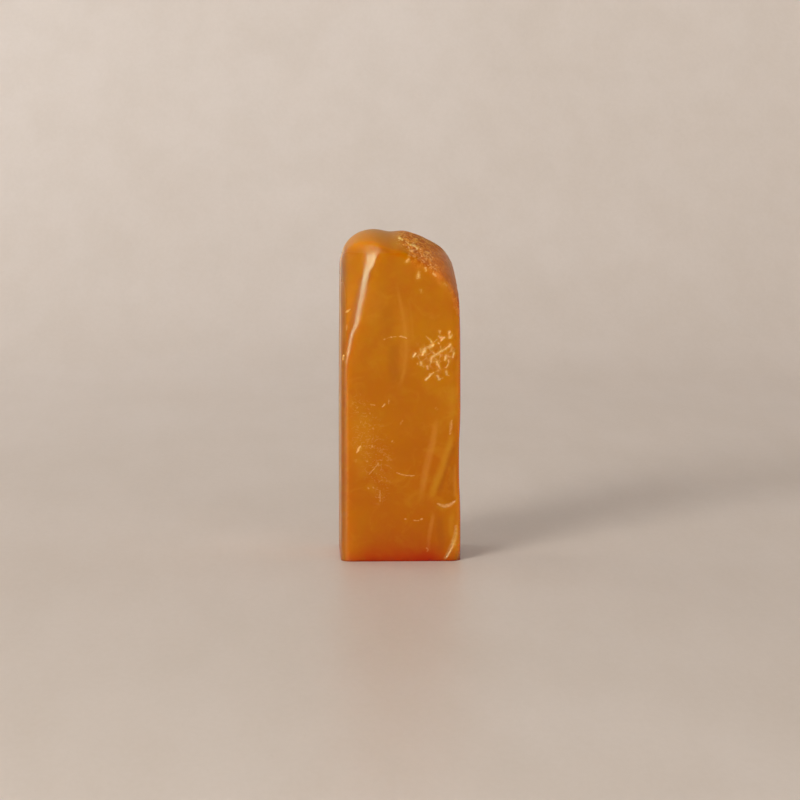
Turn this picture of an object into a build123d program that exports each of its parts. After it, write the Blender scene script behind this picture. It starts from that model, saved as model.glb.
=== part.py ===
from build123d import *
import math
import os

# A seal stamp: one block of polished, honey-coloured seal stone that stands on its carved face.
# The front of the block looks towards -Y, and the origin is the middle of the carved face.

# Driving sizes of the block, in millimetres.
block_width = 25.0
block_depth = 25.0
block_height = 68.3

# Upright edges of the four-sided shaft. The front left one is ground ever rounder towards the top, up to
# the radius that it would reach at the top of the uncut shaft.
edge_radius = 1.4
broad_corner_radius = 13.0
broad_corner_start_share = 0.6

# Crown: how far its surface falls from the middle of the block to the front, at most, and to the back.
front_fall = 6.4
rear_fall = 2.4
crown_edge_radius = 1.2

# Carved face: a border and a key fret stand proud of a sunk ground, where dried paste is left.
border_width = 1.7
recess_depth = 1.0
paste_thickness = 0.15

# How far a tool or a cut runs past what it trims.
overrun = 3.0

# Sides of the shaft seen from the front: shares of half the width and of the height. The right side is
# ground a little hollow below its middle, and leans in under the crown.
shaft_top_share = 1.06
right_side_shares = [
    (1.000, 0.00),
    (1.000, 0.16),
    (0.976, 0.24),
    (0.976, 0.36),
    (1.000, 0.44),
    (0.990, 0.73),
    (0.962, 0.822),
    (0.895, 0.885),
    (0.840, shaft_top_share),
]
left_side_shares = [
    (-0.975, shaft_top_share),
    (-1.000, 0.60),
    (-1.000, 0.00),
]

# How much of the shorter run beside a corner of an outline its rounding takes.
rounding_share = 0.45

# Crown line from left to right, half way back: shares of half the width and of the height, and the share
# of the fall to the front. The polished dome falls less than the natural slope of the rind on its right.
crown_shares = [
    (-1.120, 0.809, 0.44),
    (-0.980, 0.913, 0.44),
    (-0.880, 0.960, 0.44),
    (-0.735, 0.986, 0.44),
    (-0.456, 1.000, 0.44),
    (-0.112, 0.988, 0.50),
    (0.040, 0.994, 0.62),
    (0.272, 0.987, 0.80),
    (0.500, 0.968, 0.90),
    (0.716, 0.943, 0.95),
    (0.880, 0.899, 0.98),
    (0.985, 0.824, 0.47),
    (1.120, 0.676, 0.00),
]

# Depths at which the crown line is drawn, as shares of half the depth from the middle of the block.
crown_depth_shares = [-1.2, -0.8, -0.4, 0.0, 0.5, 1.2]

# One square spiral of the fret: the middle of its stroke, as shares of a quarter of the ground, from the
# border's inner corner to the middle of the face. The first point runs into the border.
stroke_share = 0.1
spiral_shares = [
    (0.00, 0.15),
    (0.85, 0.15),
    (0.85, 0.85),
    (0.15, 0.85),
    (0.15, 0.35),
    (0.65, 0.35),
    (0.65, 0.65),
    (0.35, 0.65),
    (0.35, 0.55),
]


def rounded_path(points):
    """A path through the points, with each inner corner rounded as far as its two runs allow."""
    radii = []
    for before, corner, after in zip(points, points[1:], points[2:]):
        run_in = Vector(*corner) - Vector(*before)
        run_out = Vector(*after) - Vector(*corner)
        half_turn = math.radians(run_in.get_angle(run_out)) / 2
        shorter_run = min(run_in.length, run_out.length)
        radii.append(rounding_share * shorter_run / math.tan(half_turn))
    return FilletPolyline(*points, radius=radii)


def squared_shaft():
    """The shaft as sawn: its front outline through the whole depth, with three upright edges ground round."""
    right_side = [(across * block_width / 2, up * block_height) for across, up in right_side_shares]
    left_side = [(across * block_width / 2, up * block_height) for across, up in left_side_shares]
    outline = rounded_path(right_side) + Line(right_side[-1], left_side[0])
    outline += rounded_path(left_side) + Line(left_side[-1], right_side[0])
    shaft = extrude(Plane.XZ * make_face(outline), block_depth / 2, both=True)
    front_face, back_face = shaft.faces().filter_by(Axis.Y).sort_by(Axis.Y)
    front_edges = front_face.edges().filter_by(Axis.X, reverse=True)
    front_right_edges = front_edges.filter_by_position(Axis.X, 0, block_width)
    back_edges = back_face.edges().filter_by(Axis.X, reverse=True)
    return fillet(front_right_edges + back_edges, edge_radius)


def broad_corner_waste():
    """What is ground off the front left edge: an even round below, and a cone that opens to the top."""
    corner_x = -block_width / 2
    corner_y = -block_depth / 2
    stations = [
        (-overrun, edge_radius),
        (broad_corner_start_share * block_height, edge_radius),
        (shaft_top_share * block_height, broad_corner_radius),
    ]
    sections = []
    for height, radius in stations:
        round_edge = CenterArc((corner_x + radius, corner_y + radius), radius, 180, 90)
        outside = Polyline(
            (corner_x + radius, corner_y),
            (corner_x + radius, corner_y - overrun),
            (corner_x - overrun, corner_y - overrun),
            (corner_x - overrun, corner_y + radius),
            (corner_x, corner_y + radius),
        )
        sections.append(Pos(0, 0, height) * make_face(round_edge + outside))
    return loft(sections, ruled=True)


def crown_section(depth_share):
    """The crown line at one depth, closed below into a face that stands wider than the shaft."""
    towards_front = max(-depth_share, 0) ** 3
    towards_back = max(depth_share, 0) ** 2
    points = []
    for across, up, slope in crown_shares:
        fall = towards_front * slope * front_fall + towards_back * rear_fall
        points.append((across * block_width / 2, up * block_height - fall))
    left_foot = (points[0][0], -overrun)
    right_foot = (points[-1][0], -overrun)
    walls = Polyline(points[-1], right_foot, left_foot, points[0])
    place = Plane(origin=(0, depth_share * block_depth / 2, 0), x_dir=(1, 0, 0), z_dir=(0, -1, 0))
    return place * make_face(Spline(*points) + walls)


def polished_block():
    """The shaft, cut to the boulder's crown, with the edge between them polished round."""
    shaft = squared_shaft() - broad_corner_waste()
    crown = loft([crown_section(share) for share in crown_depth_shares])
    block = shaft & crown
    crown_edges = new_edges(shaft, crown, combined=block)
    return fillet(crown_edges, crown_edge_radius)


def fret_strokes(ground_width, ground_depth):
    """The raised strokes of the fret: one square spiral, mirrored to the four quarters of the face."""
    quarter_width = ground_width / 2
    quarter_depth = ground_depth / 2
    strokes = Sketch()
    for (start_x, start_y), (end_x, end_y) in zip(spiral_shares, spiral_shares[1:]):
        middle_x = (start_x + end_x) / 2 * quarter_width - quarter_width
        middle_y = (start_y + end_y) / 2 * quarter_depth - quarter_depth
        stroke_width = (abs(end_x - start_x) + stroke_share) * quarter_width
        stroke_depth = (abs(end_y - start_y) + stroke_share) * quarter_depth
        strokes += Pos(middle_x, middle_y) * Rectangle(stroke_width, stroke_depth)
    strokes += mirror(strokes, Plane.YZ)
    return strokes + mirror(strokes, Plane.XZ)


def sunk_ground():
    """The ground of the carved face: what is left inside the border between the strokes."""
    ground_width = block_width - 2 * border_width
    ground_depth = block_depth - 2 * border_width
    return Rectangle(ground_width, ground_depth) - fret_strokes(ground_width, ground_depth)


def seal_stone(ground):
    """The polished block with the ground of its carved face cut away."""
    carving = extrude(Pos(0, 0, -overrun) * ground, overrun + recess_depth)
    return polished_block() - carving


def seal_paste(ground):
    """The film of dried paste that is left on the sunk ground after use."""
    return extrude(Pos(0, 0, recess_depth - paste_thickness) * ground, paste_thickness)


ground = sunk_ground()
nodes = {
    "seal_stone": seal_stone(ground),
    "seal_paste": seal_paste(ground),
}

os.makedirs("parts", exist_ok=True)
for name, solid in nodes.items():
    export_step(solid, f"parts/{name}.step")
    size = solid.bounding_box().size
    print(f"{name}: {size.X:.2f} x {size.Y:.2f} x {size.Z:.2f} mm, {solid.volume:.1f} mm3")
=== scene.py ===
# %% [markdown]
# # A seal stamp of honey-coloured stone
# The object is one polished block of translucent seal stone, 25 mm square and 68 mm high, that stands on
# its carved face. Its top keeps the rounded form of the boulder that it was sawn from, with a patch of the
# rough natural skin, the rind, at the right shoulder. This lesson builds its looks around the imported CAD
# model, which stays where it is and gives every size.

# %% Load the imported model
import math

import bpy
import numpy as np
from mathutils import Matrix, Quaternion, Vector, noise


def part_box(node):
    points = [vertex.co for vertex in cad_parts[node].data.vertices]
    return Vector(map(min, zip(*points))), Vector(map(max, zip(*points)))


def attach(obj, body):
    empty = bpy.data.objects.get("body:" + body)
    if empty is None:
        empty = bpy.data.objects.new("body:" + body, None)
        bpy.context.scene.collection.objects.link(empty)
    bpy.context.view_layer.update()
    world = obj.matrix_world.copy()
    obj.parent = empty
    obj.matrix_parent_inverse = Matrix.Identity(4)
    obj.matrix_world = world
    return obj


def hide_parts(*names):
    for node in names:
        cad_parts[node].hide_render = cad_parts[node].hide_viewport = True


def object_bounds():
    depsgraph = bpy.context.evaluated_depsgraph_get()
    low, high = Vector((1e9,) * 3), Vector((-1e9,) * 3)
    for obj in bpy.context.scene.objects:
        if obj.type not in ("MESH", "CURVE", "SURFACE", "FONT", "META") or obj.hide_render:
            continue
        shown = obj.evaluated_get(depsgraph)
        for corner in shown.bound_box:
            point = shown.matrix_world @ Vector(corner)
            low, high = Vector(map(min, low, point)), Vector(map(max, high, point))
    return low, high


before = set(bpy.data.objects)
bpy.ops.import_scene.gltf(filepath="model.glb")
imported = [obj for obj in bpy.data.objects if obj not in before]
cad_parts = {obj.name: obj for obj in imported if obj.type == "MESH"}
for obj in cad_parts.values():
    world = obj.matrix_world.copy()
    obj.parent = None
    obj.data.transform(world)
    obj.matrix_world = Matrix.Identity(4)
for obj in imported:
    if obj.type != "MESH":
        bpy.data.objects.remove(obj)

cad_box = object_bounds()
mm = 0.001
front_plane = round(cad_box[0][1] / mm, 3)
block_depth = round((cad_box[1][1] - cad_box[0][1]) / mm, 3)
print("CAD box in mm:", [[round(value / mm, 2) for value in corner] for corner in cad_box])

# %% [markdown]
# ## Camera
# The photograph was taken with a long lens, from a little above and almost straight in front. The camera
# comes first, because the small marks of the stone are placed by the pixel at which the photograph shows
# them, and that needs the camera's own view. Its distance, height and lens were fitted to the outline.

# %% Camera
picture_side = 800
camera_azimuth = -2.0
camera_elevation = 6.5
camera_distance = 790 * mm
camera_lens = 171.7
camera_sensor = 36.0
aim = Vector((-0.2, -12.5, 33.8)) * mm


def direction(azimuth, elevation):
    """The way from the block to a camera or lamp, by its degrees to the right of the front and upwards."""
    azimuth = math.radians(azimuth)
    elevation = math.radians(elevation)
    return Vector((
        math.sin(azimuth) * math.cos(elevation),
        -math.cos(azimuth) * math.cos(elevation),
        math.sin(elevation),
    ))


towards_camera = direction(camera_azimuth, camera_elevation)
bpy.ops.object.camera_add(location=aim + towards_camera * camera_distance)
camera = bpy.context.object
camera.name = "camera"
camera.rotation_euler = towards_camera.to_track_quat("Z", "Y").to_euler()
camera.data.lens = camera_lens
camera.data.sensor_width = camera_sensor
camera.data.clip_start = 0.01
camera.data.clip_end = 20
bpy.context.scene.camera = camera
bpy.context.view_layer.update()
camera_right, camera_up, camera_back = camera.matrix_world.to_3x3().transposed()
print("camera at", [round(value / mm, 1) for value in camera.location], "mm")

# %% [markdown]
# ## Handling meshes
# Blender's edit operators act on whatever is selected, so each step starts with nothing selected and then
# picks its faces or edges by where they are. These short helpers do that, and read or move all vertices
# of a mesh at once as NumPy arrays in millimetres.

# %% Helpers for selecting and reading a mesh
hair = 1e-7


def only(piece):
    """Makes the piece the one selected and active object."""
    bpy.ops.object.select_all(action="DESELECT")
    piece.select_set(True)
    bpy.context.view_layer.objects.active = piece


def rows_of(items, name):
    """One row of three numbers for each vertex or face."""
    flat = np.empty(len(items) * 3, np.float32)
    items.foreach_get(name, flat)
    return flat.reshape(-1, 3).astype(float)


def places_of(piece):
    """Where the vertices are, in millimetres."""
    return rows_of(piece.data.vertices, "co") / mm


def normals_of(piece):
    """The direction that the surface faces at each vertex."""
    return rows_of(piece.data.vertex_normals, "vector")


def face_centres_of(piece):
    """The middle of each face, in millimetres."""
    return rows_of(piece.data.polygons, "center") / mm


def move_to(piece, places):
    """Puts the vertices at these places, in millimetres."""
    piece.data.vertices.foreach_set("co", (places * mm).astype(np.float32).ravel())
    piece.data.update()


def edit(piece, kind="VERT", chosen=None):
    """Opens the piece for editing with only the chosen elements of one kind selected."""
    only(piece)
    bpy.ops.object.mode_set(mode="EDIT")
    bpy.ops.mesh.select_mode(type=kind)
    bpy.ops.mesh.select_all(action="DESELECT")
    if chosen is None:
        return
    bpy.ops.object.mode_set(mode="OBJECT")
    elements = {"VERT": piece.data.vertices, "EDGE": piece.data.edges, "FACE": piece.data.polygons}[kind]
    elements.foreach_set("select", np.asarray(chosen, bool))
    bpy.ops.object.mode_set(mode="EDIT")


def done():
    """Closes the piece that is open for editing."""
    bpy.ops.object.mode_set(mode="OBJECT")


def apply_modifier(piece, kind, **settings):
    """Adds a modifier with these settings and applies it."""
    only(piece)
    modifier = piece.modifiers.new(kind.lower(), kind)
    for name, value in settings.items():
        setattr(modifier, name, value)
    bpy.ops.object.modifier_apply(modifier=modifier.name)


def triangles_in(piece):
    """How many triangles the piece makes."""
    return sum(len(face.vertices) - 2 for face in piece.data.polygons)


# %% [markdown]
# ## The block
# The real block was sawn, ground on its flat sides and polished by hand, so its surfaces are never quite
# even. The CAD solid has its form but only as a few large facets. A sculptor's way suits the finer
# surface: take a copy of the solid, give it an even skin of small squares, and then push that skin about.
# The carved relief at the foot is too fine for such a skin, so the copy is first cut off above it and run
# on a little below the floor. The foot is cut flat and carved again at the end.

# %% Copy the CAD block without its carving
cut_above_relief = 2.0
run_below_floor = 1.5


def merged_copy(node_name, piece_name):
    """A new object with a CAD node's mesh, its loose triangles joined."""
    copy = bpy.data.objects.new(piece_name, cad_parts[node_name].data.copy())
    copy.data.name = piece_name
    copy.data.materials.clear()
    bpy.context.scene.collection.objects.link(copy)
    edit(copy)
    bpy.ops.mesh.select_all(action="SELECT")
    bpy.ops.mesh.remove_doubles(threshold=10 * hair)
    bpy.ops.mesh.select_all(action="DESELECT")
    done()
    return copy


stone = merged_copy("seal_stone", "polished_block")
edit(stone)
bpy.ops.mesh.select_all(action="SELECT")
bpy.ops.mesh.bisect(
    plane_co=(0, 0, cut_above_relief * mm), plane_no=(0, 0, 1), clear_inner=True, threshold=hair)
bpy.ops.mesh.extrude_edges_move(
    TRANSFORM_OT_translate={"value": (0, 0, -(cut_above_relief + run_below_floor) * mm)})
bpy.ops.mesh.edge_face_add()
bpy.ops.mesh.select_all(action="SELECT")
bpy.ops.mesh.normals_make_consistent(inside=False)
done()
print("plain block:", len(stone.data.vertices), "vertices, from z",
      round(places_of(stone)[:, 2].min(), 2), "to", round(places_of(stone)[:, 2].max(), 2), "mm")

# %% [markdown]
# A voxel remesh wraps the block in squares of one size. Its steps show as faint terraces on sloping
# surfaces, so a few rounds of smoothing follow. Plain smoothing would shrink the block, so every round
# pushes out again by a little more than it pulled in.

# %% Give it an even skin
skin_size = 0.6
pull_in = 0.5
push_out = -0.52


def even_out(piece, rounds):
    """Smooths small dents without shrinking the form."""
    for _ in range(rounds):
        apply_modifier(piece, "SMOOTH", factor=pull_in, iterations=1)
        apply_modifier(piece, "SMOOTH", factor=push_out, iterations=1)


apply_modifier(stone, "REMESH", mode="VOXEL", voxel_size=skin_size * mm, use_smooth_shade=True)
even_out(stone, rounds=5)
print("even skin:", len(stone.data.polygons), "faces")

# %% [markdown]
# ## Where the photograph shows a mark
# Chips, pits and veins are placed by the pixel at which they're seen. Every vertex is projected through
# the camera to its own pixel, so a mark lands on whatever surface carries it, flat or sloping. A mark is
# a line of points, each with a column, a row and the mark's half width there in pixels. Its outline is made
# ragged by shifting the pixels with fine noise before the distance from the line is measured.

# %% Project the surface to the photograph's pixels
camera_place = np.array(camera.location) / mm
focal_pixels = camera_lens / camera_sensor * picture_side
seen_edge_on = 0.15
ragged_size = 0.45
ragged_margin = 3
mark_edge = (0.15, 1.0)
mark_end = (-0.02, 0.2)


def pixels_of(places):
    """The pixel column and row at which the camera sees each place."""
    from_camera = places - camera_place
    depth = -from_camera @ np.array(camera_back)
    column = picture_side / 2 + focal_pixels * (from_camera @ np.array(camera_right)) / depth
    row = picture_side / 2 - focal_pixels * (from_camera @ np.array(camera_up)) / depth
    return column, row


def facing_camera(places, normals):
    """How far each vertex faces the camera: 0 for those turned away, 1 for those well in view."""
    sight = camera_place - places
    sight /= np.linalg.norm(sight, axis=1)[:, None]
    return np.clip((normals * sight).sum(1) / seen_edge_on, 0, 1)


def behind_front(places):
    """How far each place lies behind the front of the block, in millimetres."""
    return places[:, 1] - front_plane


def smooth_step(value, start, end):
    """Rises from 0 at start to 1 at end, with soft ends."""
    share = np.clip((value - start) / (end - start), 0, 1)
    return share * share * (3 - 2 * share)


def noise_at(places, size, shift):
    """Smooth noise between about -1 and 1, with features of this size in millimetres."""
    offset = Vector((shift, shift * 1.7, shift * 2.3))
    return np.array([noise.noise(Vector(place) / size + offset) for place in places])


def hollows_at(places, size, shift):
    """The same noise between 0 and 1, for carving inwards only."""
    return 0.5 + 0.5 * noise_at(places, size, shift)


def beside_line(column, row, line):
    """Each point's distance from a line in pixels, how far along it is, the line's half width there, and
    the side: 1 on the right of someone who walks the line, -1 on the left."""
    line = np.array(line, float)
    runs = np.diff(line[:, :2], axis=0)
    lengths = np.linalg.norm(runs, axis=1)
    walked = np.concatenate([[0], np.cumsum(lengths)]) / lengths.sum()
    nearest = np.full(len(column), 1e9)
    along, width, side = np.zeros((3, len(column)))
    for number, (x, y) in enumerate(runs):
        right = column - line[number, 0]
        down = row - line[number, 1]
        share = np.clip((right * x + down * y) / lengths[number] ** 2, 0, 1)
        away = np.hypot(right - share * x, down - share * y)
        closer = away < nearest
        nearest[closer] = away[closer]
        along[closer] = (walked[number] + share * (walked[number + 1] - walked[number]))[closer]
        width[closer] = (line[number, 2] + share * (line[number + 1, 2] - line[number, 2]))[closer]
        side[closer] = np.where(right * y < down * x, 1, -1)[closer]
    return nearest, along, width, side


def above_line(column, row, line):
    """How many pixels each point lies above a line that runs from left to right."""
    return np.interp(column, [point[0] for point in line], [point[1] for point in line]) - row


def marks_at(places, marks, raggedness=0.0, soft_ends=False, wider=1.0):
    """The strength of all the marks of a list at each place: each mark is a line and its full strength."""
    column, row = pixels_of(places)
    strength = np.zeros(len(places))
    for line, most in marks:
        right, bottom, widest = np.max(line, axis=0)
        left, top, _ = np.min(line, axis=0)
        margin = widest * wider + ragged_margin
        across = (column > left - margin) & (column < right + margin)
        close = np.flatnonzero(across & (row > top - margin) & (row < bottom + margin))
        if not len(close):
            continue
        sideways = raggedness * noise_at(places[close], ragged_size, 2.2)
        upwards = raggedness * noise_at(places[close], ragged_size, 7.7)
        away, along, width, _ = beside_line(column[close] + sideways, row[close] + upwards, line)
        share = most * (1 - smooth_step(away / (width * wider), *mark_edge))
        if soft_ends:
            share *= smooth_step(np.minimum(along, 1 - along), *mark_end)
        strength[close] = np.maximum(strength[close], share)
    return strength


# %% [markdown]
# ## A finer skin where there is more to see
# Squares of 0.6 mm are fine for a polished side, but a pit is not much wider than that. A
# digital sculptor would use dynamic topology; here the faces of the front and the crown are picked by
# place and subdivided once, and those with pits, rind and chips a second time. The rind's lower edge is a
# line of pixels too, made ragged by coarse and fine noise, and the patch narrows towards the back.

# %% Subdivide the front and the crown, then the marked places
rind_line = [
    (380, 226), (397, 236), (405, 245), (412, 262), (426, 269), (434, 275), (447, 287), (452, 301),
    (464, 326),
]
rind_left_end = (392, 404)
rind_fade = (-4, 5)
rind_from = 0.02
lobe_depth = 6.0
lobe_size = 2.2
fringe_depth = 3.0
fringe_size = 0.8
rind_full_until = 17.5
rind_narrowing = 4.0
front_skin_depth = 3.0
rind_skin_depth = 10.5
crown_skin_height = 56
fine_zone_depth = 2.0
fine_zones = [
    (409, 328, 458, 382),
    (354, 400, 390, 410),
    (354, 440, 362, 456),
    (366, 462, 418, 504),
    (426, 494, 462, 562),
    (340, 305, 354, 314),
    (340, 352, 347, 362),
    (380, 332, 410, 342),
    (402, 514, 426, 524),
]


def in_rind(places, fade):
    """How far each place lies inside the rind: 0 on polished stone, 1 well within the patch."""
    column, row = pixels_of(places)
    lobes = lobe_depth * noise_at(places, lobe_size, 3.1)
    ragged = lobes + fringe_depth * noise_at(places, fringe_size, 5.7)
    behind = np.clip(behind_front(places) - rind_full_until, 0, None) * rind_narrowing
    left_end = smooth_step(column + ragged, *rind_left_end)
    return smooth_step(above_line(column, row, rind_line) + ragged - behind, *fade) * left_end


def in_fine_zone(places):
    """True for the places on the front that carry small marks."""
    column, row = pixels_of(places)
    found = np.zeros(len(places), bool)
    for left, top, right, bottom in fine_zones:
        found |= (column > left) & (column < right) & (row > top) & (row < bottom)
    return found & (behind_front(places) < fine_zone_depth)


def subdivide(piece, chosen):
    """Splits the chosen faces in four, rounded to follow the surface."""
    edit(piece, "FACE", chosen)
    bpy.ops.mesh.subdivide(number_cuts=1, smoothness=1.0, ngon=False)
    bpy.ops.mesh.select_all(action="DESELECT")
    done()


centres = face_centres_of(stone)
subdivide(stone, (behind_front(centres) < front_skin_depth) | (centres[:, 2] > crown_skin_height))
even_out(stone, rounds=3)
centres = face_centres_of(stone)
rind_in_view = (in_rind(centres, rind_fade) > rind_from) & (behind_front(centres) < rind_skin_depth)
subdivide(stone, in_fine_zone(centres) | rind_in_view)
print("with finer zones:", triangles_in(stone), "triangles")

# %% [markdown]
# ## Sculpting
# Each pass moves the skin inwards along its own normal by a depth worked out for every vertex, as a
# sculpting brush would. First come the slow waves that hand polishing leaves, and a slight swelling of the
# crown left of its middle. The left side was ground a little deeper towards the front. Its broad rounded
# corner was ground in three goes, which meet at two slight steps: the surface tilts one way above a step
# and the other way below it, and that bends the long reflection of the light.

# %% Waves, the crown, the left side and the broad corner
wave_depth = 0.06
wave_size = 11.0
ripple_depth = 0.015
ripple_size = 3.5

crown_swelling = 0.45
swelling_middle = -2.4
swelling_reach = (5.0, 0.5)
swelling_heights = (60, 66)

left_taper = 0.05
left_wobble = 0.10
left_wobble_size = 6.0
left_wobble_stretch = (1, 0.15, 1)
left_wobble_fade = (0, 0.4)
left_side_reach = (8, 12.3)

corner_steps = [(48.2, 0.055, 4.5), (61.0, 0.035, 9.0)]
streak_rows = [250, 362]
streak_columns = [374.5, 346.4]
pixels_in_mm = 4.83
streak_reach = (2.4, 0.6)
corner_depth = (10.5, 6.5)
half_step = 0.9
step_plateau = 1.5


def carve(piece, depth):
    """Moves every vertex inwards by its own depth in millimetres."""
    move_to(piece, places_of(piece) - normals_of(piece) * depth[:, None])


def off_streak(places):
    """How far right of the streak of light each place is seen, in millimetres."""
    column, row = pixels_of(places)
    return (column - np.interp(row, streak_rows, streak_columns)) / pixels_in_mm


places = places_of(stone)
waves = wave_depth * hollows_at(places, wave_size, 1.3) + ripple_depth * hollows_at(places, ripple_size, 8.9)
carve(stone, waves)

places = places_of(stone)
near_swelling = smooth_step(np.abs(places[:, 0] - swelling_middle), *swelling_reach)
places[:, 2] += crown_swelling * near_swelling * smooth_step(places[:, 2], *swelling_heights)
move_to(stone, places)

places = places_of(stone)
frontness = 1 - behind_front(places) / block_depth
wobble = left_wobble * noise_at(places * left_wobble_stretch, left_wobble_size, 4.1)
taper = left_taper * frontness + wobble * smooth_step(frontness, *left_wobble_fade)
places[:, 0] += np.clip(taper, 0, None) * smooth_step(-places[:, 0], *left_side_reach)
move_to(stone, places)

for step_height, slope, step_reach in corner_steps:
    places = places_of(stone)
    from_streak = off_streak(places)
    above_step = places[:, 2] - step_height
    below = 2 * smooth_step(above_step, half_step, -half_step) - 1
    near_step = smooth_step(np.abs(above_step), step_reach, step_plateau)
    near_streak = smooth_step(np.abs(from_streak), *streak_reach)
    on_corner = smooth_step(behind_front(places), *corner_depth)
    carve(stone, slope * below * near_step * near_streak * from_streak * on_corner)
print("waves up to", round(waves.max(), 3), "mm")
print("left side ground back by up to", round(taper.max(), 2), "mm")

# %% [markdown]
# The lower right of the front was ground once more at a slight angle, which leaves a long, three-cornered
# facet that ends in a shell-shaped ledge. At the foot below it a flake came off the corner. A facet is
# made by pressing everything that stands outside a plane back to it; a flake is a hollow that is deepest
# at its curved lip and runs out on one side.

# %% Facet and flakes
facet_point = np.array([11.9, -12.5, 25.1])
facet_facing = np.array([0.121, -0.992, -0.033])
facet_limit = 1.0
ledge_line = [(436, 503, 1), (440, 506.5, 1), (444, 508, 1), (449, 506.5, 1), (453, 503.5, 1), (458, 498, 1)]
flakes = [
    ([(457, 521, 9), (456.5, 530, 9), (455, 538, 9), (452, 546, 9), (448, 554, 8), (444, 560, 7)], 0.12, 1),
    (ledge_line, 0.13, -1),
    ([(453, 418, 4), (452.5, 424, 4), (452, 432, 4), (450, 441, 4)], 0.04, -1),
    ([(438, 418, 6), (433, 438, 6), (430, 455, 6), (424, 474, 6), (421, 496, 6)], 0.05, -1),
    ([(434, 514, 5), (431, 526, 5), (428, 540, 5), (428, 556, 5)], 0.05, -1),
]
ledge_edge = (-0.8, 0.8)
flake_end = (0, 0.15)
lip_reach = (1.2, 0)

places = places_of(stone)
column, row = pixels_of(places)
outside = np.clip((places - facet_point) @ facet_facing, 0, facet_limit)
above_ledge = smooth_step(above_line(column, row, ledge_line), *ledge_edge)
pressed = outside * above_ledge * facing_camera(places, normals_of(stone))
move_to(stone, places - facet_facing * pressed[:, None])

for line, flake_depth, open_side in flakes:
    places = places_of(stone)
    column, row = pixels_of(places)
    away, along, reach, side = beside_line(column, row, line)
    hollow = np.clip(1 - away / reach, 0, 1) ** 2 * smooth_step(np.minimum(along, 1 - along), *flake_end)
    lip = np.where(side == open_side, 1, smooth_step(away, *lip_reach))
    carve(stone, flake_depth * hollow * lip * facing_camera(places, normals_of(stone)))
print("facet pressed in by up to", round(pressed.max(), 2), "mm,", len(flakes), "flakes")

# %% [markdown]
# The rind is the stone's natural skin: soft lumps covered in fine grains, waxed along with the rest. It
# stands a little proud of the polished stone, which was ground down beside it. Cell noise gives the grains,
# because each cell is a rounded knob with a crease around it.

# %% Rind
lump_depth = 0.12
lump_size = 2.0
grain_depth = 0.07
grain_size = 0.8
grain_top = 0.8
rind_stands_proud = 0.14
rind_slope = (-8, 10)


def grains_at(places, size):
    """Knobs of cell noise: 0 on top of a grain, 1 in the crease around it."""
    tops = np.array([noise.voronoi(Vector(place) / size)[0][0] for place in places])
    return np.clip(tops / grain_top, 0, 1)


places = places_of(stone)
rind = in_rind(places, rind_slope)
rough = np.flatnonzero(rind > 0.001)
depth = np.zeros(len(places))
depth[rough] = lump_depth * hollows_at(places[rough], lump_size, 4.4)
depth[rough] += grain_depth * grains_at(places[rough], grain_size)
depth[rough] += 0.5 * grain_depth * grains_at(places[rough], 0.5 * grain_size)
carve(stone, (depth - rind_stands_proud) * rind)
print("rind on", len(rough), "vertices")

# %% [markdown]
# Small natural pits lie in a cluster at the right of the front, where soft grains fell out of the stone,
# and a few hairline cracks and bruises are scattered elsewhere. A web of fainter lines, the seams between
# the cells of a cell noise, joins the pits. Along the rind's edge, where the polish cuts through the skin,
# single crystals stand up in a broken line and catch the light.

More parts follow.
